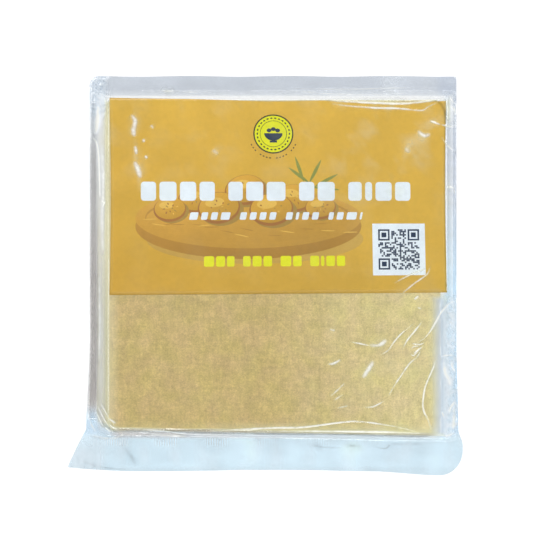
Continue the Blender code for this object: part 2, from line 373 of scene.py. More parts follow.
FRONT_RIGHT_CREASES = [
    # the long curve that comes in from the right edge, with its gathered middle
    (0.5, 0.5, (9.5, 83), (5, 81), (0.5, 76.5), (-3, 70.5), (-6.5, 64.5), (-10.5, 60), (-16, 56.5)),
    (0.4, 0.6, (-11, 55.5), (-14, 53), (-17, 50.5)),
    (0.5, 0.5, (-10, 57.5), (-13, 56.5), (-17.6, 57)),
    (0.4, 0.4, (-18.2, 53.4), (-16.6, 55.2), (-13, 55.4)),
    (0.45, 0.45, (-18.6, 50.8), (-16.6, 49.8), (-14.4, 52.2), (-12.6, 54.4)),
    (0.45, 0.6, (-12, 54), (-14.5, 49), (-19, 45), (-24, 38), (-28, 32), (-32, 25)),
    # two slanting folds above it
    (0.5, 0.55, (-11, 71), (-16, 64.5), (-20.5, 59), (-23.5, 53)),
    (0.42, 0.5, (-16, 69.5), (-23.5, 63.5), (-28.5, 58), (-32, 53), (-37, 50)),
    # the long upright fold by the right edge
    (0.5, 0.55, (-3.5, 47), (-4.5, 43), (-8, 35), (-10, 29), (-11, 21.5), (-10.5, 16), (-8, 11), (-6, 5)),
    # the hook at the long curve's foot
    (0.42, 0.55, (-34, 22.5), (-41, 19), (-47, 18.5)),
    # short dents where the film lets go of the top sheet
    (0.4, 0.6, (-55, 58.2), (-48, 56.8), (-42, 55.6)),
    (0.55, 1.4, (-44, 56), (-38, 55.8), (-32.5, 59.6)),
    (0.6, 1.4, (-40.5, 47), (-43.6, 42), (-47.5, 36)),
    (0.45, 1.0, (-67.5, 65.5), (-64, 65)),
    (0.45, 0.9, (-69, 44.5), (-65, 45), (-60.5, 47.5)),
    (0.4, 0.7, (-67, 25), (-62, 29.5), (-58, 33.5)),
    (0.4, 0.7, (-65, 22.5), (-59, 26.5)),
    (0.35, 0.7, (-63, 18), (-56, 19.5)),
    # over the label's lower right
    (0.4, 0.5, (-6.5, 104), (-8.5, 99), (-16, 93.5), (-24, 87)),
    (0.35, 0.45, (-9, 102.5), (-19, 98.5), (-28.5, 93.5)),
    (0.45, 0.8, (-16.5, 83.5), (-13.5, 86)),
    (0.4, 0.8, (-14.5, 79), (-11.5, 78)),
    # along the stack's front edge
    (0.5, 0.5, (-140, 4.2), (-103, 6), (-83.5, 6.5), (-59.5, 9.5), (-50, 10), (-36, 8.3),
     (-23, 5.8), (-13, 3)),
    (0.42, 0.5, (-92, 4.2), (-62, 4.0), (-38, 3.8), (-14, 3.2)),
    # down the right margin
    (0.4, 1.3, (1.5, 47.6), (2.5, 40.4), (5.2, 33.9), (6.2, 30.7)),
    (0.35, 0.5, (0, 49.1), (4, 49.9), (8.8, 49.8)),
    (0.35, 0.6, (6.2, 47.6), (7.2, 43), (9.6, 39.1)),
    (0.35, 0.6, (0.6, 16.1), (2, 11.3)),
    (0.42, 0.7, (9.4, 21.8), (6.2, 18.2), (5.2, 13.9)),
    (0.45, 1.2, (8.6, 18.2), (8.2, 10), (7.9, 4.5)),
    (0.35, 0.6, (0.8, 0.6), (5, 1.4), (9, 2.6)),
]
FRONT_LEFT_CREASES = [
    # along the stack's front edge
    (0.45, 0.45, (14.4, 6.1), (24, 5.4), (38, 4.2), (50, 2.6), (62, 1.4), (88, 1.0)),
    (0.42, 0.4, (24, 3.6), (33, 1.8), (44, 0.9), (56, 0.2)),
    # gathered at the stack's front left corner
    (0.34, 0.4, (-5, 18.5), (-2.6, 17.9), (-0.2, 13.7), (2.8, 8.2), (4.7, 4.6)),
    (0.28, 0.38, (-0.2, 19.1), (2.8, 13.7), (5.9, 8.8), (8.9, 5.2)),
    (0.26, 0.4, (2.2, 20.4), (5.3, 15.5), (7.7, 11.3), (11.3, 7.6)),
    (0.6, 0.8, (4.2, 6.6), (6.5, 4.6), (8.8, 3.2)),
    (0.5, 0.8, (7.0, 12.2), (9.2, 10.2), (11.6, 8.6)),
    (0.4, 0.4, (6.4, 9.4), (9.6, 6.4), (13.4, 5.2)),
    (0.3, 0.6, (-5.5, 14), (-4, 8), (-1, 3)),
    (0.28, 0.45, (-5, 1.5), (3.5, -0.4), (10.7, -0.4), (18.6, 2.4), (30, 1.6)),
]
HEAD_RIGHT_CREASES = [
    # the pair of folds along the label's head
    (0.6, 0.6, (-74, -1.2), (-63, -2.3), (-42, -3.3), (-27, -3.7), (-14.5, -2.6), (1.5, 0.2)),
    (0.5, 0.55, (-70, -3.8), (-60, -5), (-45, -6.2), (-30, -6.6), (-16, -7.8), (-11.5, -5.6), (-5, -2.4)),
    # short folds on the label's upper right
    (0.45, 0.6, (-10.5, -14), (-4, -16.5)),
    (0.5, 1.3, (-18, -20), (-14, -23), (-10, -22)),
    (0.4, 1.6, (-26, -31.5), (-22, -32.5)),
    # down the right margin
    (0.45, 0.5, (-4, -16.3), (-0.4, -17.2), (3, -17.4), (6.6, -15.6)),
    (0.34, 0.45, (-3.6, -23.6), (0, -28.8), (4, -31.6), (6, -33)),
    (0.45, 0.9, (1.6, -5.2), (4.6, -6.4), (5.6, -10)),
    (0.4, 0.5, (1.0, 1.4), (3.6, -2), (6.4, -3)),
    (0.55, 0.7, (0.6, -54.3), (2.6, -54), (5.2, -54.9)),
    (0.35, 0.6, (4.4, -54), (5, -58)),
    (0.08, 1.4, (2.4, -62), (3, -84), (2.2, -108)),
    # in the head seal, and above the label
    (0.3, 0.4, (-118, 2.2), (-96, 4.2), (-70, 2.6), (-40, 2.2), (-12, 4.4)),
    (0.24, 0.35, (-100, 6.2), (-60, 5.6), (-20, 6.6), (-4, 5.4)),
]
HEAD_LEFT_CREASES = [
    # streaks by the label's left edge, and one further in
    (0.6, 1.45, (13, -10), (15.5, -14), (14.5, -20), (15.5, -24)),
    (0.5, 1.2, (15.5, -29), (16.5, -34.5)),
    (0.6, 1.5, (15, -38), (17, -43), (19, -49)),
    (0.14, 1.6, (15.5, -24), (16, -36), (18, -50), (19, -58)),
    (0.4, 1.0, (20, -25), (21.5, -27)),
    (0.4, 1.0, (25, -16.5), (26.5, -19)),
    (0.35, 0.9, (21.5, -35), (23, -37)),
    (0.35, 1.6, (62, -31), (66, -34.5)),
    # down the stack's left side
    (0.55, 1.3, (-7.2, -4), (-7.6, -12), (-9, -22)),
    (0.5, 0.45, (-11, -23), (-8.2, -27.5), (-7, -34.5), (-6.4, -48), (-6, -61)),
    (0.45, 0.5, (-5.2, -62), (-2.4, -64.5)),
    (0.4, 0.45, (-4.6, -66.5), (-2.2, -62)),
    (0.22, 1.3, (-4.4, -28), (-3.6, -50), (-4.4, -75), (-4, -96)),
    (0.2, 0.9, (-6.6, -108), (-6.2, -135), (-6.8, -160)),
    # in the head seal, and above the label
    (0.45, 0.5, (9, 12), (9.4, 8.4)),
    (0.35, 0.4, (6.6, 12.4), (6.8, 9)),
    (0.3, 0.4, (22, 3.0), (34, 4.6), (52, 3.6), (70, 4.4)),
]

# Painted shade: thin darker lines where the film folds, listed in the same way; they darken its tint and
# add no height

FRONT_RIGHT_SHADE_LINES = [
    (0.5, 0.4, (-81, -4.5), (-71, -6.1), (-60, -6.6)),
    (0.5, 0.4, (-58.8, -4.5), (-53, -5.4), (-47.6, -5.7)),
    (0.6, 0.4, (-41.3, -5.6), (-33.3, -6.9), (-29.3, -4.5), (-19, -3.8), (-11, -4.5)),
]
FRONT_LEFT_SHADE_LINES = [
    (0.6, 0.4, (-6.7, 1.0), (1.3, -0.6), (9.3, -0.2)),
    (0.5, 0.5, (-13, -13.3), (1.3, -18.1), (18.6, -19.6)),
    (0.4, 1.2, (14, -3.8), (20.4, -11.7), (23.5, -18.1)),
]
HEAD_RIGHT_SHADE_LINES = [
    (0.7, 0.9, (-8.2, -1.6), (-4.2, -3.4), (-1.4, -9.0), (-0.8, -16)),
]


def placed(anchor, folds):
    """Each fold as its path on the pack, its strength and its half width."""
    return [(smooth_route(np.add(route, anchor)), strength, width) for strength, width, *route in folds]


CREASES = [
    *placed(FRONT_RIGHT, FRONT_RIGHT_CREASES),
    *placed(FRONT_LEFT, FRONT_LEFT_CREASES),
    *placed(HEAD_RIGHT, HEAD_RIGHT_CREASES),
    *placed(HEAD_LEFT, HEAD_LEFT_CREASES),
]
SHADE_LINES = [
    *placed(FRONT_RIGHT, FRONT_RIGHT_SHADE_LINES),
    *placed(FRONT_LEFT, FRONT_LEFT_SHADE_LINES),
    *placed(HEAD_RIGHT, HEAD_RIGHT_SHADE_LINES),
]

# A crease's form: its flanks' slope, its width for a half width of 1, and how round its ridge is
CREASE_SLOPE = 0.42
CREASE_WIDTH = 1.6
RIDGE_ROUNDING = 0.15


def near_path(points, path, reach):
    """True for each point in the box around a path, widened by reach."""
    return ((points > path.min(0) - reach) & (points < path.max(0) + reach)).all(axis=1)


def crease_height(points, creases):
    """The height that the creases add, and how near each point is to one, in widths.

    A crease is a low roof with flat flanks, so that each flank catches the light as one line.
    """
    total = np.zeros(len(points))
    nearness = np.full(len(points), np.inf)
    for path, strength, width in creases:
        width = width * CREASE_WIDTH
        near = near_path(points, path, 5 * width)
        distance, along = from_path(points[near], path)
        taper = np.sin(math.pi * np.clip(along, 0.02, 0.98)) ** 0.4
        flank = 1 - np.hypot(distance, RIDGE_ROUNDING) / width
        roof = 0.5 * (flank + np.hypot(flank, 0.1))
        broad = 0.15 * np.exp(-((distance / (3 * width)) ** 2))
        height = CREASE_SLOPE * 2 * strength * width * (1.3 - 0.45 * width)
        total[near] += height * taper * (roof + broad)
        nearness[near] = np.minimum(nearness[near], distance / width)
    return total, nearness


def crease_gleam(points, creases):
    """Painted highlight along the film's folds, as milky whitening: most at the crest of a sharp fold, in
    uneven strokes; along the shade lines the same weight darkens the film's tint as painted shade.
    """
    gleam = np.zeros(len(points))
    for path, strength, width in creases:
        near = near_path(points, path, 3 + 3 * width)
        place = points[near]
        distance, along = from_path(place, path)
        ends = np.sin(math.pi * np.clip(along, 0, 1)) ** 0.6
        stroke = 0.8 + 0.6 * cloud(place, 7, 51.0) + 0.3 * cloud(place, 2.5, 52.0)
        stroke += 0.2 * cloud(place, 1.1, 53.0)
        core = np.exp(-((distance / (0.34 + 0.4 * width**2)) ** 2))
        halo = 0.18 * width * np.exp(-((distance / (2.2 * width)) ** 2))
        peak = strength * (2.4 - 0.6 * width)
        gleam[near] = np.maximum(gleam[near], peak * ends * np.clip(stroke, 0.05, 1.2) * (core + halo))
    return gleam


# The lower seal's ribs: their pitch, the pitch of the patches that they show in, and their band
RIB_PITCH = 1.5
RIB_PATCH = 30.5
RIB_BAND = (FLAP_SEAL - 5.3, FLAP_SEAL - 0.4)


def rib_share(points):
    """1 on the crests of the lower seal's ribs, in patches and mostly at its left, and 0 between them."""
    x, y = points.T
    low, high = RIB_BAND
    in_band = ramp(low - 0.4, low + 0.4, y) * ramp(high + 0.4, high - 0.4, y)
    patches = ramp(-0.2, 0.5, np.sin(TAU * (x + 98) / RIB_PATCH)) * (0.25 + 0.75 * ramp(20, -40, x))
    return (0.5 + 0.5 * np.sin(TAU * x / RIB_PITCH)) * in_band * patches


def seal_texture(points):
    """The ribs of the lower seal and the fine lines of the seal at the head."""
    y = points[:, 1]
    ribs = 0.15 * rib_share(points)
    at_head = ramp(HEAD_SEAL + 0.5, HEAD_SEAL + 1.5, y)
    lines = 0.05 * np.sin(TAU * y / 2.3) * at_head
    return ribs + lines


def crinkle_zone(points):
    """Where the film is finely crumpled: its head left corner and its right margin."""
    x, y = points.T
    head = POUCH_HIGH[1]
    corner = ramp(POUCH_LEFT + 16, POUCH_LEFT + 6, x) * ramp(head - 24, head - 16, y)
    corner = np.maximum(corner, ramp(TOP_LEFT, TOP_LEFT - 3, x) * ramp(TOP_HEAD - 12, TOP_HEAD - 5, y))
    margin = ramp(POUCH_RIGHT - 9, POUCH_RIGHT - 5, x) * ramp(-8, -24, y) * ramp(-101, -97, y)
    head_right = ramp(POUCH_RIGHT - 8, POUCH_RIGHT - 5, x) * ramp(88, 97, y) * ramp(113, 108, y)
    return np.clip(corner + margin + 0.8 * head_right, 0, 1)


def crinkles(points):
    """Crumpled film: facets with sharp folds between them, small at the left and longer at the right."""
    small = 0.5 - np.abs(cloud(points, 3.4, 4.0)) - 0.5 * np.abs(cloud(points, 1.7, 9.0))
    long = 0.5 - np.abs(cloud(points, 4.6, 4.0, (1.0, 2.2)))
    long -= 0.35 * np.abs(cloud(points, 2.4, 9.0, (1.0, 1.5)))
    return np.where(points[:, 0] < 0, 1.3 * small, 1.1 * long)


def front_film(points):
    """The height of the front film."""
    surface = pack_surface(points)
    raised = ramp(SEAL_TOP, SEAL_TOP + 3.0, surface)
    swell = 0.5 + 0.5 * cloud(points, 24, 1.0, (1.0, 0.7)) + 0.2 * cloud(points, 9, 2.0)
    swell *= looseness(points)
    cling = 0.05 * cloud(points, 7, 3.0) + 0.12 * cloud(points, 22, 5.0)
    height = surface + raised * (FILM_STEP + rest_height(points) + label_share(points) * LABEL_STEP)
    height += raised * np.maximum(swell + cling, -0.1)
    height += 0.12 * (1 - raised) * cloud(points, 14, 6.0, (1.6, 0.8))
    height += flap_wave(points) + 0.35 * flap_share(points[:, 1]) * cloud(points, 16, 7.0)
    height += crease_height(points, CREASES)[0]
    height += crinkle_zone(points) * crinkles(points)
    return np.maximum(height + seal_texture(points), 0.35)


def back_film(points):
    return 0.06 + flap_wave(points) + 0.3 * flap_share(points[:, 1]) * (1 + cloud(points, 19, 8.0))


def film_spacing(points):
    """How close together the front film's points are, by what is there."""
    spacing = np.full(len(points), 2.4)
    surface = pack_surface(points)
    spacing[(surface < STACK_TOP - 0.1) & (surface > SEAL_TOP + 0.05)] = 1.2
    spacing[crease_height(points, CREASES + SHADE_LINES)[1] < 1.4] = 0.3
    spacing[crinkle_zone(points) > 0.05] = 0.6
    x, y = points.T
    at_front = (np.abs(y - front_edge(x) + 1.6) < 1.8) & (x > TOP_LEFT) & (x < TOP_RIGHT)
    right_margin = (x > TOP_RIGHT + 3) & (x < POUCH_RIGHT - 1)
    by_label = (y > LABEL_LOW[1] - 4) & (y < TOP_HEAD)
    spacing[at_front | (right_margin & by_label)] = 0.6
    return spacing


def grid_points(across, up):
    return np.stack(np.meshgrid(across, up), -1).reshape(-1, 2)


def pouch_points(outline):
    """Points for the front film: closer on folds, and in rows on the seals' ribs and lines."""
    front = spread_points(outline, film_spacing, (2.4, 1.2, 0.6, 0.3))
    left, right = outline[:, 0].min() + 14, POUCH_RIGHT - 4
    ribs = grid_points(np.arange(left, right, RIB_PITCH / 6), np.linspace(*RIB_BAND, 5))
    rows = np.arange(HEAD_SEAL + 1, POUCH_HIGH[1] - 0.8, 0.38)
    lines = grid_points(np.arange(POUCH_LEFT + 18, POUCH_RIGHT - 2, 3.0), rows)
    x, y = front.T
    in_band = (y > RIB_BAND[0] - 0.5) & (y < RIB_BAND[1] + 0.5) & (x > left - 0.5) & (x < right + 0.5)
    in_lines = (y > HEAD_SEAL + 0.6) & (x > POUCH_LEFT + 17.6) & (x < POUCH_RIGHT - 2)
    return np.vstack([front[~in_band & ~in_lines], ribs, lines])


# What one layer of film lets through, and the colour of its milky share, by place.
# Beyond the film's own faint tint, the change from place to place, greyer at the head and left and bluer at
# the right and flap, is painted reflection and shade.

CLEAR_TINT = (0.965, 0.97, 0.975)
HEAD_TINT = (0.80, 0.826, 0.862)
SIDE_TINT = (0.9, 0.895, 0.89)
RIGHT_TINT = (0.765, 0.88, 0.965)
LABEL_SIDE_TINT = (0.765, 0.80, 0.856)
FLAP_TINT = (0.85, 0.936, 0.982)
FOLD_TINT = (0.815, 0.795, 0.78)
SLOPE_TINT = (0.79, 0.8, 0.805)
COOL_MILK = (0.93, 0.965, 1.0)
WARM_MILK = (0.98, 0.99, 0.66)
CORNER_SHADE_TINT = (0.74, 0.75, 0.77)
RIM_MILK = (0.68, 0.77, 0.87)
FOOT_SHADE_MILK = (0.67, 0.68, 0.715)
CORNER_MILK = (0.72, 0.81, 0.90)
SIDE_SHADE_TINT = (0.95, 0.915, 0.86)
FOOT_SHADE_TINT = (0.81, 0.785, 0.765)
CREST_HIGHLIGHT_MILK = (1.0, 1.0, 0.93)


def blend(first, second, share):
    """Colours that are first where share is 0 and second where it is 1."""
    first, second = np.asarray(first), np.asarray(second)
    return first + (second - first) * share[:, None]


def film_tint(points):
    """The colour that one layer of film lets through: clear over the contents, deeper where it gathers; its
    greys and blues by place, its uneven bands and its darker corner and foot are painted reflection and
    shade.
    """
    x, y = points.T
    margin = blend(SIDE_TINT, HEAD_TINT, ramp(100, 108, y))
    seal_line = np.exp(-(((y - HEAD_SEAL + 1.4) / 1.8) ** 2))
    margin = margin * (1 + 0.025 * ramp(20, 90, x) - 0.05 * seal_line)[:, None]
    right = blend(RIGHT_TINT, LABEL_SIDE_TINT, ramp(-15, 60, y))
    margin = blend(margin, right, ramp(TOP_RIGHT - 4, TOP_RIGHT + 4, x))
    margin = blend(margin, RIGHT_TINT, ramp(FLARE_START + 16, FLARE_START + 6, y))
    margin = blend(margin, FLAP_TINT, ramp(FLAP_SEAL + 4, FLAP_SEAL, y))
    edge = right_edge(y) + 2.9 * ramp(LABEL_LOW[1] - 1, LABEL_LOW[1] + 1, y)
    covered = ramp(STACK_TOP - 5, STACK_TOP - 1.5, pack_surface(points)) * ramp(edge + 1.5, edge, x)
    uneven = cloud(points, 24, 31.0, (1.0, 0.6)) + cloud(points, 9, 32.0, (1.6, 0.6))
    margin *= 1 + 0.035 * uneven[:, None]
    bands = 0.04 * cloud(points, 12, 33.0, (1.0, 5.0)) + 0.05 * ramp(0.86, 1.0, flap_share(y))
    bands += 0.03 * ramp(-40, -90, x)
    margin *= 1 - (bands * ramp(FLAP_SEAL, FLAP_SEAL - 3, y))[:, None]
    colours = blend(np.clip(margin, 0, 1), CLEAR_TINT, covered)
    # Painted shade along the shade lines
    colours *= 1 - 0.2 * crease_gleam(points, SHADE_LINES)[:, None]
    below = front_edge(x) - y
    # Painted shade on the film by the stack's front left corner
    corner = ramp(TOP_LEFT - 6, TOP_LEFT + 6, x) * ramp(-55, -80, x)
    corner *= ramp(0.6, 1.4, below) * ramp(5.6, 4.4, below)
    colours = blend(colours, CORNER_SHADE_TINT, corner)
    shade_tint = blend(SIDE_SHADE_TINT, FOOT_SHADE_TINT, ramp(2.3, 2.9, below))
    colours = blend(colours, shade_tint, foot_bands(points)[0])
    left_side = ramp(TOP_LEFT + 0.5, TOP_LEFT - 2.5, x) * ramp(STACK_LOW[0] - 1, STACK_LOW[0] + 1, x)
    left_side *= ramp(30, -30, y) * ramp(STACK_LOW[1], STACK_LOW[1] + 12, y)
    return blend(colours, SLOPE_TINT, left_side)


def right_fade(points):
    """1 at the stack's right edge below the label, where the film leaves it, and 0 a few millimetres in."""
    x, y = points.T
    edge = right_edge(y)
    band = ramp(edge - 8.5, edge + 0.5, x) * ramp(edge + 5, edge + 1, x)
    return band * ramp(LABEL_LOW[1] + 1, LABEL_LOW[1] - 3, y) * ramp(FLAP_SEAL, FLAP_SEAL + 4, y)


# How far the stack's shaded side shows in front of its front edge, at stations from left to right
SHADE_STATIONS = (-82, -64, -40, -15, 15, 52, 88)
SHADE_DEPTHS = (4.4, 4.2, 3.5, 2.9, 2.4, 1.7, 2.8)


def foot_bands(points):
    """Two bands in front of the stack, both painted shade: its shaded side, and the strip of film from
    there to the seal.
    """
    x, y = points.T
    below = front_edge(x) - y
    depth = np.interp(x, SHADE_STATIONS, SHADE_DEPTHS)
    across = ramp(TOP_LEFT, TOP_LEFT + 8, x) * ramp(TOP_RIGHT + 2, TOP_RIGHT - 4, x)
    shaded = ramp(0.0, 0.5, below) * ramp(depth + 0.5, depth - 0.4, below) * across
    strip = ramp(depth - 0.4, depth + 0.6, below) * ramp(FLAP_SEAL - 1.0, FLAP_SEAL + 0.6, y) * across
    return shaded, strip


def film_haze(points):
    """How milky the film is: least over the contents, most on crumpled film and down the left side, with
    painted sheen, highlight, reflection and shade in it.
    """
    x, y = points.T
    surface = pack_surface(points)
    slope = ramp(STACK_TOP + 0.1, STACK_TOP - 3, surface) * ramp(SEAL_TOP, SEAL_TOP + 3, surface)
    slope *= ramp(TOP_HEAD + 3, TOP_HEAD - 1, y)
    left_side = ramp(TOP_LEFT + 0.2, TOP_LEFT - 6, x) * ramp(HEAD_SEAL + 3, HEAD_SEAL - 6, y)
    left_side *= 0.22 + 0.33 * ramp(0, 90, y) + 0.12 * cloud(points, 12, 42.0, (0.25, 2.0))
    apart = 0.25 + 0.9 * looseness(points) + 1.6 * ramp(25, 70, x) * ramp(25, 70, y)
    apart += 0.6 * ramp(40, 80, y)
    lumps = cloud(points, 17, 41.0) + 0.45 * cloud(points, 6, 43.0) + 0.25 * cloud(points, 2.6, 45.0)
    patches = ramp(-0.2, 0.85, lumps) * apart
    at_flap = ramp(FLAP_SEAL + 1, FLAP_SEAL - 2, y)
    mottle = ramp(-0.1, 0.6, cloud(points, 13, 44.0, (0.7, 1.3)))
    front_rim = ramp(front_edge(x) + 7, front_edge(x) + 1, y) * ramp(STACK_TOP - 3, STACK_TOP - 1, surface)
    front_rim *= 0.3 + 0.7 * ramp(-60, 20, x)
    # Painted light and shade: light on the front rim, a grey strip of shade before the seal, sheen patches
    # over the contents and the flap, reflection brightening up the left side, highlights on the ribs'
    # crests and on the crumpled film's facets
    haze = 0.75 * right_fade(points) + 0.7 * foot_bands(points)[1] + 0.3 * front_rim
    haze += 0.005 + 0.13 * patches * (1 - at_flap) + 0.16 * mottle * at_flap
    haze += 0.1 * slope + left_side + 0.34 * rib_share(points)
    facets = ramp(0.6, 0.1, np.abs(crinkles(points) - 0.65))
    haze += crinkle_zone(points) * (0.26 - 0.16 * ramp(0, 10, x) + 0.4 * facets)
    return np.clip(haze, 0, 0.7)


def film_milk(points, gleam):
    """The colour of the milky share: warm over the contents, cool elsewhere, near white along a fold as a
    painted highlight.
    """
    over_contents = ramp(STACK_TOP - 4, STACK_TOP - 0.5, pack_surface(points))
    over_contents *= ramp(TOP_HEAD + 1.5, TOP_HEAD - 0.5, points[:, 1])
    milk = blend(COOL_MILK, WARM_MILK, over_contents)
    brighter = 1 + 0.11 * ramp(-25, -65, points[:, 1])
    milk = blend(milk, np.array(RIM_MILK) * brighter[:, None], right_fade(points))
    milk = blend(milk, FOOT_SHADE_MILK, foot_bands(points)[1])
    facets = crinkle_zone(points) * ramp(10, 0, points[:, 0]) * ramp(0.75, 0.15, crinkles(points))
    milk = blend(milk, CORNER_MILK, facets)
    return blend(milk, CREST_HIGHLIGHT_MILK, ramp(0.15, 0.6, gleam))


# The pouch's edge: how wide it is, and how high it lies over the back film
RIM_WIDTH = 1.6
RIM_LIFT = 0.25


def make_pouch(material):
    outline = pouch_outline()
    front_points, front_faces, _ = triangulate([outline], pouch_points(outline))
    back_points, back_faces, _ = triangulate([outline], even_points(outline, 4.0))
    heights = []
    for points, height_at in ((front_points, front_film), (back_points, back_film)):
        to_rim = ramp(0, RIM_WIDTH, from_outline(points, outline))
        rim = back_film(points) + RIM_LIFT
        heights.append(rim + (height_at(points) - rim) * to_rim)
    flat = np.vstack([front_points, back_points])
    points = np.column_stack([flat, np.concatenate(heights)])
    faces = front_and_back(front_faces, back_faces, len(front_points))
    piece = make_piece("pouch_film", points, faces, [material])
    gleam = crease_gleam(flat, CREASES)
    set_colours(piece, "tint", film_tint(flat))
    set_colours(piece, "milk", film_milk(flat, gleam))
    # The haze carries the folds' painted highlight
    set_floats(piece, "haze", np.clip(film_haze(flat) + gleam, 0, 0.92))
    return piece


# The side fold's size, its height over the floor and its place inside the pouch's left edge
FOLD_HALF_WIDTH = 2.4
FOLD_HALF_DEPTH = 0.42
FOLD_HEIGHT = 1.75
FOLD_INSET = 2.9


def make_side_fold(material):
    """The seal down the left side, folded against the stack: a flat tube of film, clearer at its ends."""
    rows = np.arange(FLARE_START + 6, POUCH_HIGH[1] - 14, 1.5)
    around = 16
    points, faces = [], []
    for row, y in enumerate(rows):
        wander = 0.4 * noise.noise(Vector((POUCH_LEFT / 40, y / 40, 11.0)))
        middle = POUCH_LEFT + FOLD_INSET + wander - 1.3 * ramp(TAPER_START, FLARE_START, y)
        for step in range(around):
            angle = TAU * step / around
            depth = FOLD_HALF_DEPTH + 0.25 * noise.noise(Vector((step * 0.8, y / 14, 3.0)))
            across, up = FOLD_HALF_WIDTH * math.cos(angle), depth * math.sin(angle)
            points.append((middle + across, y, FOLD_HEIGHT + up))
            if row:
                after = (step + 1) % around
                below = (row - 1) * around
                faces.append((below + step, below + after, row * around + after, row * around + step))
    last = (len(rows) - 1) * around
    faces += [tuple(range(around))[::-1], tuple(range(last, last + around))]
    piece = make_piece("side_fold", points, faces, [material])
    flat = np.array(points)[:, :2]
    deep = ramp(96, 66, flat[:, 1]) * ramp(-86, -74, flat[:, 1]) * (1 - 0.35 * ramp(-10, 60, flat[:, 1]))
    set_colours(piece, "tint", blend(CLEAR_TINT, FOLD_TINT, deep))
    set_colours(piece, "milk", np.tile(COOL_MILK, (len(flat), 1)))
    set_floats(piece, "haze", np.full(len(flat), 0.05))
    return piece


# The wrappers


def wrapper_outline(level, rng):
    """One wrapper's outline: level is 0 at the bottom of the stack and 1 at its top."""
    corners = box_corners(TOP_LEFT, TOP_RIGHT, TOP_FRONT, TOP_HEAD)
    corners[0] += (0, FRONT_SPREAD)
    corners[1] += (RIGHT_SPREAD, -FRONT_SPREAD)
    below, above = PRESSED_CORNER
    radii = (below + (above - below) * level + rng.uniform(-0.5, 1.5), 3.0, 3.0, 3.0)
    aside = LEAN * (1 - level) + (rng.uniform(-0.3, 0.3), rng.uniform(-0.25, 0.25))
    outline = rounded_quad(corners, radii, side_points=26, corner_points=5) + aside
    wavy = cloud(outline, 26, rng.uniform(0, 50))
    centre = outline.mean(0)
    outward = np.sign(outline - centre) * (np.abs(outline - centre) > 90)
    return outline + 0.3 * wavy[:, None] * outward


def ring_faces(lower, upper, count):
    return [(lower + i, lower + (i + 1) % count, upper + (i + 1) % count, upper + i) for i in range(count)]


def make_lower_wrappers(material):
    rng = random.Random(3)
    pitch = (STACK_TOP - STACK_BASE) / SHEET_COUNT
    points, faces, rim, shade = [], [], [], []
    for index in range(SHEET_COUNT - 1):
        outline = wrapper_outline(index / (SHEET_COUNT - 1), rng)
        count = len(outline)
        inner = outline + (outline.mean(0) - outline) * 0.02
        low = STACK_BASE + index * pitch
        high = low + SHEET_THICKNESS
        start = len(points)
        for ring, height in ((outline, low), (outline, high), (inner, high)):
            points += [(x, y, height) for x, y in ring]
        # Each sheet's pale rim, made paler than the paper as painted light on its lit edge
        rim += [1.0] * (2 * count) + [0.0] * count
        x, y = outline.T
        # Painted shade: the front side of each lower wrapper is marked to take a darker colour
        front = (y < y.min() + 2 * FRONT_SPREAD + 0.4) * ramp(TOP_LEFT, TOP_LEFT + 12, x)
        shade += [*front, *front, *([0.0] * count)]
        faces += ring_faces(start, start + count, count)
        faces += ring_faces(start + count, start + 2 * count, count)
        faces.append(tuple(start + i for i in reversed(range(count))))
        faces.append(tuple(start + 2 * count + i for i in range(count)))
    piece = make_piece("lower_wrappers", points, faces, [material], smooth=False)
    set_floats(piece, "rim", rim)
    set_floats(piece, "shade", shade)
    return piece


def make_top_wrapper(material):
    rng = random.Random(17)
    outline = wrapper_outline(1.0, rng)
    inner = even_points(outline, 2.5)
    rim_rings = [outline + (outline.mean(0) - outline) * share for share in (0.004, 0.009)]
    flat, triangles, _ = triangulate([outline, *rim_rings], inner)
    to_edge = from_outline(flat, outline)
    top = STACK_TOP + rest_height(flat)
    points = np.vstack([np.column_stack([flat, top]), np.column_stack([flat, top - SHEET_THICKNESS])])
    count = len(flat)
    faces = front_and_back(triangles, triangles, count)
    edges = {}
    for a, b, c in triangles:
        for pair in ((a, b), (b, c), (c, a)):
            edges[pair] = True
    rim_edges = [pair for pair in edges if pair[::-1] not in edges]
    faces += [(b, a, count + a, count + b) for a, b in rim_edges]
    piece = make_piece("top_wrapper", points, faces, [material])
    # The top sheet's pale rim is partly painted light, left out at its right edge, with a faint pale strip
    # down its left
    pale = ramp(0.9, 0.0, to_edge) * ramp(TOP_RIGHT - 1, TOP_RIGHT - 5, flat[:, 0])
    pale = np.maximum(pale, 0.3 * ramp(TOP_LEFT + 8, TOP_LEFT + 1, flat[:, 0]))
    set_floats(piece, "rim", np.tile(pale, 2))
    return piece


# The label and its print

INKS = {
    "paper": (0.762, 0.480, 0.069),
    "white": (0.88, 0.95, 1.0),
    "yellow": (0.86, 0.86, 0.02),
    "dark": (0.05, 0.05, 0.04),
    "navy": (0.02, 0.04, 0.09),
    "wood": (0.77, 0.445, 0.078),
    "wood_side": (0.61, 0.335, 0.062),
    "shade": (0.66, 0.43, 0.10),
    "cracker": (0.78, 0.45, 0.065),
    "crust": (0.45, 0.20, 0.055),
    "glaze": (0.88, 0.58, 0.12),
    "shadow": (0.46, 0.30, 0.075),
    "leaf": (0.30, 0.33, 0.08),
}


def ellipse(centre, radii, tilt=0.0, count=40):
    turns = np.linspace(0, TAU, count, endpoint=False)
    points = np.stack([radii[0] * np.cos(turns), radii[1] * np.sin(turns)], 1)
    return np.array([turned(p, tilt) for p in points]) + centre


def pill(centre, size, radius, slant):
    """An upright block with rounded corners, leaning to the right by slant."""
    half = np.array(size) / 2
    corners = box_corners(-half[0], half[0], -half[1], half[1])
    points = rounded_quad(corners, (min(radius, *(half * 0.98)),) * 4, side_points=1, corner_points=4)
    return points + np.stack([slant * points[:, 1], np.zeros(len(points))], 1) + centre


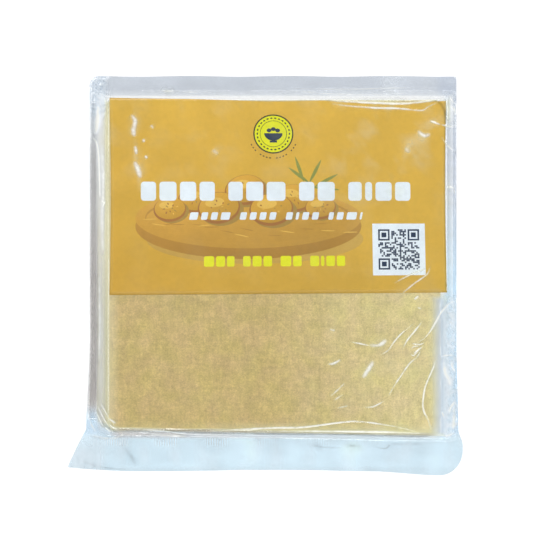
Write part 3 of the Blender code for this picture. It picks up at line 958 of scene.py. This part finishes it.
def leaf(base, length, width, tilt):
    turns = np.linspace(0, 1, 9)
    half = width / 2 * np.sin(math.pi * turns) ** 0.8
    spine = length * turns
    side = np.vstack([np.stack([spine, -half], 1)[:-1], np.stack([spine, half], 1)[:0:-1]])
    return np.array([turned(p, tilt) for p in side]) + base


def block_line(left, base, height, words, gap, word_gap, ink, slant=0.0):
    """A line of plain rounded blocks where the pack carries words."""
    shapes, x = [], left
    for word in words:
        for width in word:
            centre = (x + width / 2, base + height / 2)
            shapes.append((ink, pill(centre, (width, height), height * 0.16, slant)))
            x += width + gap
        x += word_gap - gap
    return shapes


def square(low, side):
    return box_corners(low[0], low[0] + side, low[1], low[1] + side)


def code_square(centre, side, modules, seed):
    """A pale square with a made-up pattern of dark modules that encodes nothing."""
    rng = random.Random(seed)
    shapes = [("white", square(np.array(centre) - side / 2, side))]
    size = side * 0.78 / modules
    origin = np.array(centre) - size * modules / 2
    corners = ((0, 0), (0, modules - 7), (modules - 7, modules - 7))

    def block(column, row, wide, ink):
        inset = 0.02 * size
        low = origin + size * np.array((column, row)) + inset
        shapes.append((ink, square(low, wide * size - 2 * inset)))

    for column, row in corners:
        block(column, row, 7, "navy")
        block(column + 1, row + 1, 5, "white")
        block(column + 2, row + 2, 3, "navy")
    for column in range(modules):
        for row in range(modules):
            in_corner = any(c - 1 <= column <= c + 7 and r - 1 <= row <= r + 7 for c, r in corners)
            if not in_corner and rng.random() < 0.5:
                block(column, row, 1, "navy")
    return shapes


BADGE = np.array((99.4, -21.3))


TRAY = (
    ("shade", (88, -86), (66, 15)),
    ("wood_side", (84, -78), (69, 20)),
    ("wood", (84, -73), (69, 18.5)),
    ("wood_side", (84, -72.5), (63, 15)),
    ("wood", (84, -73.5), (62.5, 14.6)),
)
# Each cracker's place and size, and each leaf's base and tilt
CRACKERS = (
    (52, -61, 11),
    (112, -60, 11.5),
    (82, -55, 12.5),
    (36, -67, 10),
    (128, -66, 9.5),
    (66, -66, 13),
    (98, -67, 13.5),
)
LEAVES = (((121, -52), 1.1), ((118, -51), 1.9), ((124, -54), 0.5), ((122, -52), 2.5), ((123, -54), -0.1))


def tray_picture():
    """A faint picture behind the words: round crackers heaped in a wide woven tray, with sprigs by them."""
    rng = random.Random(11)
    shapes = [(ink, ellipse(centre, radii, count=80)) for ink, centre, radii in TRAY]
    for turn in range(30):
        place = 24 + turn * 4.2 + rng.uniform(-1.5, 1.5)
        tilt = rng.uniform(-0.25, 0.25)
        ink = rng.choice(("wood_side", "glaze"))
        shapes.append((ink, ellipse((place, -74 - rng.uniform(-9, 10)), (4.5, 0.28), tilt, 12)))
    for x, y, size in CRACKERS:
        tilt = rng.uniform(-0.3, 0.3)
        for ink, aside, up, wide, high in (
            ("shadow", 0.16 * size, -0.2 * size, 1.02, 0.7),
            ("crust", 0.0, -0.8, 1.0, 0.74),
            ("cracker", 0.0, 0.0, 0.93, 0.66),
            ("glaze", -0.2 * size, 0.2 * size, 0.45, 0.22),
        ):
            shapes.append((ink, ellipse((x + aside, y + up), (size * wide, size * high), tilt)))
        for crumb in range(11):
            around = crumb * 2.4
            out = size * 0.16 * math.sqrt(crumb + 1)
            place = (x + out * math.cos(around), y + 0.68 * out * math.sin(around))
            ink = rng.choice(("crust", "glaze", "shadow"))
            radii = (rng.uniform(0.4, 1.0), rng.uniform(0.25, 0.5))
            shapes.append((ink, ellipse(place, radii, tilt + around, 8)))
    return shapes + [("leaf", leaf(base, 17, 2.0, tilt)) for base, tilt in LEAVES]


def badge():
    """A round badge with a bowl in it, a ring of dots, and a curved row of dashes below."""
    shapes = []
    rings = (("dark", 12.2, 72), ("yellow", 11.4, 72), ("dark", 8.2, 60), ("yellow", 7.9, 60))
    for ink, radius, count in rings:
        shapes.append((ink, ellipse(BADGE, (radius, radius), count=count)))
    for index in range(26):
        around = TAU * index / 26
        place = BADGE + 9.8 * np.array((math.cos(around), math.sin(around)))
        shapes.append(("dark", ellipse(place, (0.75, 0.45), around + math.pi / 2, 10)))
    turns = np.linspace(math.pi, TAU, 20)
    bowl = np.stack([5.6 * np.cos(turns), 4.6 * np.sin(turns)], 1)
    shapes.append(("navy", bowl + BADGE + (0, 0.3)))
    shapes.append(("navy", box_corners(BADGE[0] - 2.2, BADGE[0] + 2.2, BADGE[1] - 5.4, BADGE[1] - 4.2)))
    for aside, lift in ((-2.6, 1.6), (0.0, 2.4), (2.6, 1.6)):
        shapes.append(("navy", ellipse(BADGE + (aside, lift + 0.4), (1.5, 1.2), count=16)))
    for index in range(17):
        around = math.radians(207 + 126 * index / 16)
        if index % 5 != 3:
            place = BADGE + 15.0 * np.array((math.cos(around), math.sin(around)))
            shapes.append(("dark", ellipse(place, (0.6, 0.38), around + math.pi / 2, 8)))
    return shapes


def label_print():
    """Every printed shape, back to front, as (ink, outline), from the label's upper left corner."""
    shapes = tray_picture() + badge()
    words = ((9.3, 10.4, 9.9, 9.3), (8.8, 10.4, 11.5), (9.3, 10.4), (8.2, 4.2, 9.9, 9.3))
    shapes += block_line(18.3, -62.4, 11.6, words, 2.1, 8.3, "white")
    words = ((5.0, 3.9, 3.9, 5.5), (3.9, 3.9, 3.9, 3.9), (3.9, 1.8, 3.9, 3.9), (2.9, 3.9, 6.0, 1.3))
    shapes += block_line(48.2, -74.0, 4.6, words, 2.1, 6.2, "white", slant=0.2)
    words = ((6.2, 5.4, 4.6), (4.6, 5.4, 5.2), (6.4, 5.2), (5.4, 2, 5.2, 5))
    shapes += block_line(57, -102.6, 6.4, words, 1.2, 5.2, "yellow")
    shapes += code_square((175.6, -92.5), 32.0, 25, 5)
    return shapes


def label_place(points):
    """Where a point of the flat print comes to lie on the pack: the label bows, and its head edge waves."""
    u = points[:, 0] / LABEL_FOOT_WIDTH
    v = -points[:, 1] / LABEL_LENGTH
    bow = LABEL_SIDE_BOW * np.sin(math.pi * v) * (1 - 2 * u)
    x = LABEL_LOW[0] + (LABEL_FOOT_WIDTH - LABEL_FOOT_SPREAD * (1 - v)) * u + bow
    stations = (0, 0.1, 0.27, 0.35, 0.476, 0.56, 0.625, 0.744, 0.863, 0.94, 1)
    dips = (0, 0.3, 0.4, 0.9, 1.7, 1.2, 0.5, 1.4, 2.1, 1.2, 0)
    fine = np.linspace(0, 1, 60)
    wave = np.convolve(np.pad(np.interp(fine, stations, dips), 3, "edge"), np.ones(7) / 7, "valid")
    sag = np.interp(u, fine, wave) * np.clip(1 - v * 6, 0, 1) ** 2
    length = LABEL_LENGTH - LABEL_TAPER * u
    return np.stack([x, LABEL_HIGH[1] - LABEL_HEAD_FALL * u - length * v - sag], 1)


def make_label(material, back_material):
    outline = rounded_quad(box_corners(0, LABEL_FOOT_WIDTH, -LABEL_LENGTH, 0), (0.3,) * 4, 70, 3)
    shapes = label_print()
    loose = spread_points(outline, lambda p: np.where(p[:, 1] > -6, 0.55, 2.2), (2.2, 1.1, 0.55))
    printed, triangles, holders = triangulate([outline, *(shape for _, shape in shapes)], loose)
    names = ["paper", *(name for name, _ in shapes)]
    colours = []
    for triangle, holder in zip(triangles, holders):
        ink = np.array(INKS[names[holder]])
        for corner in triangle:
            colours.append(ink * print_shade(printed[corner], names[holder], shapes[holder - 1][1]))
    flat = label_place(printed)
    height = pack_surface(flat) + rest_height(flat) + LABEL_STEP
    points = np.column_stack([flat, height])
    piece = make_piece("printed_label", points, triangles, [material, back_material])
    set_colours(piece, "ink", np.array(colours), "CORNER")
    solid = piece.modifiers.new("paper", "SOLIDIFY")
    solid.thickness = 0.1 * MM
    solid.offset = -1.0
    solid.material_offset = 1
    solid.material_offset_rim = 1
    return piece


def print_shade(place, ink, outline):
    """The ground is darker at its foot and warmer at its lower left; shapes darken to their lower right."""
    if ink in ("white", "yellow", "navy", "dark"):
        return 1.0
    rightward, footward = place[0] / LABEL_FOOT_WIDTH, -place[1] / LABEL_LENGTH
    warmth = footward * (1 - rightward)
    shade = 1.055 - 0.15 * footward + 0.04 * footward * rightward
    shade *= 1 - warmth * np.array((0, 0.07, 0.2))
    if ink in ("cracker", "wood", "wood_side"):
        low, high = outline.min(0), outline.max(0)
        across, up = (place - low) / (high - low)
        shade *= 1.08 - 0.12 * across - 0.22 * (1 - up)
    return shade


# Materials


def new_material(name):
    material = bpy.data.materials.new(name)
    material.use_nodes = True
    material.node_tree.nodes.clear()
    return material, material.node_tree


def add_node(tree, kind, inputs=None, **settings):
    """A new node with its settings, and its inputs set to a value or linked to another node's socket."""
    node = tree.nodes.new("ShaderNode" + kind)
    for key, value in settings.items():
        setattr(node, key, value)
    for key, value in (inputs or {}).items():
        if isinstance(value, bpy.types.NodeSocket):
            tree.links.new(value, node.inputs[key])
        else:
            node.inputs[key].default_value = value
    return node


def finish_material(tree, shader):
    add_node(tree, "OutputMaterial", {"Surface": shader.outputs[0]})


def noise_node(tree, size, stretch=(1, 1, 1), detail=2.0, seed=0.0):
    """Noise over the object's own coordinates, with lumps about size millimetres across."""
    coordinates = add_node(tree, "TexCoord").outputs["Object"]
    scale = [1 / (size * MM * s) for s in stretch]
    mapping = add_node(tree, "Mapping", {"Vector": coordinates, "Scale": scale, "Location": (seed,) * 3})
    inputs = {"Vector": mapping.outputs[0], "Scale": 1.0, "Detail": detail}
    return add_node(tree, "TexNoise", inputs).outputs["Fac"]


def remap(tree, value, low, high, to_low, to_high):
    inputs = {"Value": value, "From Min": low, "From Max": high, "To Min": to_low, "To Max": to_high}
    return add_node(tree, "MapRange", inputs).outputs[0]


def pattern(tree, noise_value, spread=0.2, low=0.0, high=1.0):
    """Noise from spread below its middle to spread above it, taken to low to high."""
    return remap(tree, noise_value, 0.5 - spread, 0.5 + spread, low, high)


def attribute(tree, name, output="Fac"):
    return add_node(tree, "Attribute", attribute_name=name).outputs[output]


def bump_node(tree, height, strength, depth):
    inputs = {"Height": height, "Strength": strength, "Distance": depth * MM}
    return add_node(tree, "Bump", inputs).outputs[0]


def mix_colour(tree, share, first, second, blend="MIX"):
    node = add_node(tree, "Mix", data_type="RGBA", blend_type=blend)
    for key, value in ((0, share), (6, first), (7, second)):
        if isinstance(value, bpy.types.NodeSocket):
            tree.links.new(value, node.inputs[key])
        elif key:
            node.inputs[key].default_value = (*value, 1.0)
        else:
            node.inputs[key].default_value = value
    return node.outputs[2]


def multiply(tree, colour, factor):
    return mix_colour(tree, 1.0, colour, factor, "MULTIPLY")


def darken(tree, colour, level):
    """The colour times a grey of this level."""
    grey = add_node(tree, "CombineXYZ", {0: level, 1: level, 2: level}).outputs[0]
    return multiply(tree, colour, grey)


def math_node(tree, operation, first, second=0.5):
    return add_node(tree, "Math", {0: first, 1: second}, operation=operation).outputs[0]


def film_material():
    material, tree = new_material("clear_film")
    bump = bump_node(tree, noise_node(tree, 2.2, detail=3.0), 0.25, 0.3)
    clear = add_node(tree, "BsdfTransparent", {"Color": attribute(tree, "tint", "Color")})
    milk = attribute(tree, "milk", "Color")
    milky = add_node(tree, "BsdfPrincipled", {"Base Color": milk, "Roughness": 0.35})
    haze = attribute(tree, "haze")
    body = add_node(tree, "MixShader", {0: haze, 1: clear.outputs[0], 2: milky.outputs[0]})
    gloss = add_node(tree, "BsdfGlossy", {"Color": (1, 1, 1, 1), "Roughness": 0.09, "Normal": bump})
    # Schlick's share of light reflected by a film's two faces, the same from both of its sides
    facing = add_node(tree, "LayerWeight", {"Blend": 0.5, "Normal": bump}).outputs["Facing"]
    share = remap(tree, math_node(tree, "POWER", facing, 5.0), 0.0, 1.0, 0.08, 1.0)
    finish_material(tree, add_node(tree, "MixShader", {0: share, 1: body.outputs[0], 2: gloss.outputs[0]}))
    return material


MIDDLE_TAN = (0.647, 0.491, 0.2)
RIGHT_TAN = (0.815, 0.705, 0.357)
LIT_RIM_TAN = (0.93, 0.90, 0.66)
# Painted shade colour for the stack's front side
FRONT_SIDE_SHADE_TAN = (0.6, 0.53, 0.44)
# Painted shade of a faint upright fold in the top wrapper, right of the middle; the sheet has no fold in
# its shape
FOLD_SHADE_PLACE = 33.0


def wrapper_material():
    """Tan rice paper: speckled, faintly woven, paler towards its edges and the right of the stack; the pale
    edges are partly the paper's own and partly painted light on the lit rims, and the paler right is
    painted light through the thin sheets.
    """
    material, tree = new_material("rice_paper")
    coordinates = add_node(tree, "TexCoord").outputs["Object"]
    across = add_node(tree, "SeparateXYZ", {0: coordinates}).outputs[0]
    # Painted light: the paper pales towards the right, as if lit through the thin sheets
    rightward = remap(tree, across, 0.0, 106 * MM, 0.0, 1.0)
    colour = mix_colour(tree, rightward, MIDDLE_TAN, RIGHT_TAN)
    hue = pattern(tree, noise_node(tree, 14, detail=3.0, seed=12.0), 0.15)
    colour = multiply(tree, colour, mix_colour(tree, hue, (0.985, 1.008, 0.93), (1.02, 0.994, 1.08)))
    speckle = pattern(tree, noise_node(tree, 0.9, detail=4.0))
    threads = pattern(tree, noise_node(tree, 1.3, (1, 7, 1), seed=5.0))
    for share, dark, light in (
        (speckle, 0.85, 1.13),
        (threads, 0.95, 1.05),
        (pattern(tree, noise_node(tree, 1.5, (7, 1, 1), seed=9.0)), 0.96, 1.04),
        (pattern(tree, noise_node(tree, 2.4, seed=15.0)), 0.93, 1.07),
        (pattern(tree, noise_node(tree, 5.5, (0.8, 1.3, 1), seed=18.0), 0.15), 0.945, 1.045),
        (pattern(tree, noise_node(tree, 11, detail=3.0, seed=2.0)), 0.95, 1.05),
    ):
        colour = darken(tree, colour, remap(tree, share, 0.0, 1.0, dark, light))
    # Painted shade along the fold
    from_fold = math_node(tree, "ABSOLUTE", math_node(tree, "SUBTRACT", across, FOLD_SHADE_PLACE * MM))
    colour = darken(tree, colour, remap(tree, from_fold, 0.0, 2.5 * MM, 0.95, 1.0))
    # Pale rims, partly painted light on the lit edges
    rim = math_node(tree, "MULTIPLY", attribute(tree, "rim"), 0.9)
    colour = mix_colour(tree, rim, colour, LIT_RIM_TAN)
    # Painted shade on the stack's front side
    colour = mix_colour(tree, attribute(tree, "shade"), colour, FRONT_SIDE_SHADE_TAN)
    bump = bump_node(tree, math_node(tree, "ADD", speckle, threads), 0.35, 0.12)
    inputs = {"Base Color": colour, "Roughness": 0.5, "Normal": bump, "Specular IOR Level": 0.4}
    finish_material(tree, add_node(tree, "BsdfPrincipled", inputs))
    return material


def label_material():
    material, tree = new_material("printed_label")
    cloudy = pattern(tree, noise_node(tree, 26, detail=4.0, seed=4.0), low=0.94, high=1.06)
    grain = pattern(tree, noise_node(tree, 2.4, detail=3.0, seed=7.0), low=0.97, high=1.03)
    colour = darken(tree, attribute(tree, "ink", "Color"), math_node(tree, "MULTIPLY", cloudy, grain))
    inputs = {"Base Color": colour, "Roughness": 0.42, "Specular IOR Level": 0.4}
    finish_material(tree, add_node(tree, "BsdfPrincipled", inputs))
    return material


def label_back_material():
    """Bare paper with a faint grain."""
    material, tree = new_material("label_back")
    grain = pattern(tree, noise_node(tree, 0.8, detail=3.0, seed=3.0))
    colour = mix_colour(tree, grain, (0.76, 0.74, 0.66), (0.84, 0.82, 0.74))
    inputs = {"Base Color": colour, "Roughness": 0.6, "Normal": bump_node(tree, grain, 0.2, 0.05)}
    finish_material(tree, add_node(tree, "BsdfPrincipled", inputs))
    return material


# Stage, light and camera


def make_floor():
    half = 3000
    points = [(x * half, y * half, -0.05) for x, y in ((-1, -1), (1, -1), (1, 1), (-1, 1))]
    material, tree = new_material("pale_floor")
    matt = add_node(tree, "BsdfDiffuse", {"Color": (0.25, 0.25, 0.25, 1)})
    glow = add_node(tree, "Emission", {"Color": (1, 1, 1, 1), "Strength": 0.88})
    finish_material(tree, add_node(tree, "AddShader", {0: matt.outputs[0], 1: glow.outputs[0]}))
    floor = make_piece("floor", points, [(0, 1, 2, 3)], [material])


def make_world():
    world = bpy.data.worlds.new("studio")
    world.use_nodes = True
    tree = world.node_tree
    tree.nodes.clear()
    direction = add_node(tree, "TexCoord").outputs["Generated"]
    up = add_node(tree, "SeparateXYZ", {0: direction}).outputs[2]
    low_sky = remap(tree, up, 0.05, 0.25, 0.0, 1.0)
    band = math_node(tree, "MULTIPLY", low_sky, remap(tree, up, 0.78, 0.9, 1.0, 0.0))
    strength = math_node(tree, "MULTIPLY_ADD", band, 0.5)
    strength.node.inputs[2].default_value = 0.12
    background = add_node(tree, "Background", {"Color": (0.95, 0.98, 1.0, 1), "Strength": strength})
    add_node(tree, "OutputWorld", {"Surface": background.outputs[0]})
    bpy.context.scene.world = world


# Soft lights around the pack, in metres: a name, the turn from +X in degrees, and the power
SOFTBOXES = (("right", 25, 6), ("back", 90, 2.5), ("key", 140, 7.5), ("left", 190, 3), ("front", 265, 6.5))
SOFTBOX_REACH = 1.15
SOFTBOX_HEIGHT = 1.22
SOFTBOX_SIZE = (1.1, 0.5)


def add_softbox(name, place, size, power):
    light = bpy.data.lights.new(name, "AREA")
    light.shape = "RECTANGLE"
    light.size, light.size_y = size
    light.energy = power
    lamp = bpy.data.objects.new(name, light)
    lamp.location = place
    lamp.rotation_euler = (-Vector(place)).to_track_quat("-Z", "Y").to_euler()
    bpy.context.scene.collection.objects.link(lamp)


def add_camera():
    """Straight above the pack, far off behind a long lens, so that its upright sides stay hidden."""
    view_width = 323.0
    distance = 2400.0
    aim = Vector((0.9, 1.3, 8.0)) * MM
    camera = bpy.data.objects.new("camera", bpy.data.cameras.new("camera"))
    camera.data.sensor_fit = "HORIZONTAL"
    camera.data.lens = camera.data.sensor_width * distance / view_width
    camera.location = aim + Vector((0, 0, distance * MM))
    bpy.context.scene.collection.objects.link(camera)
    bpy.context.scene.camera = camera


def main():
    film = film_material()
    paper = wrapper_material()
    pouch = make_pouch(film)
    fold = make_side_fold(film)
    lower = make_lower_wrappers(paper)
    top = make_top_wrapper(paper)
    label = make_label(label_material(), label_back_material())
    for piece, node, slot in (
        (pouch, "pouch", "clear_film"),
        (fold, "pouch", "clear_film"),
        (lower, "wrapper_stack", "rice_paper"),
        (top, "wrapper_stack", "rice_paper"),
        (label, "label_sheet", "printed_label"),
    ):
        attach(piece, "root")
        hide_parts(node)
    make_floor()
    make_world()
    for name, turn, power in SOFTBOXES:
        around = math.radians(turn)
        place = (SOFTBOX_REACH * math.cos(around), SOFTBOX_REACH * math.sin(around), SOFTBOX_HEIGHT)
        add_softbox(name, place, SOFTBOX_SIZE, power)
    add_camera()
    scene = bpy.context.scene
    scene.view_settings.view_transform = "Standard"
    scene.cycles.transparent_max_bounces = 24


main()
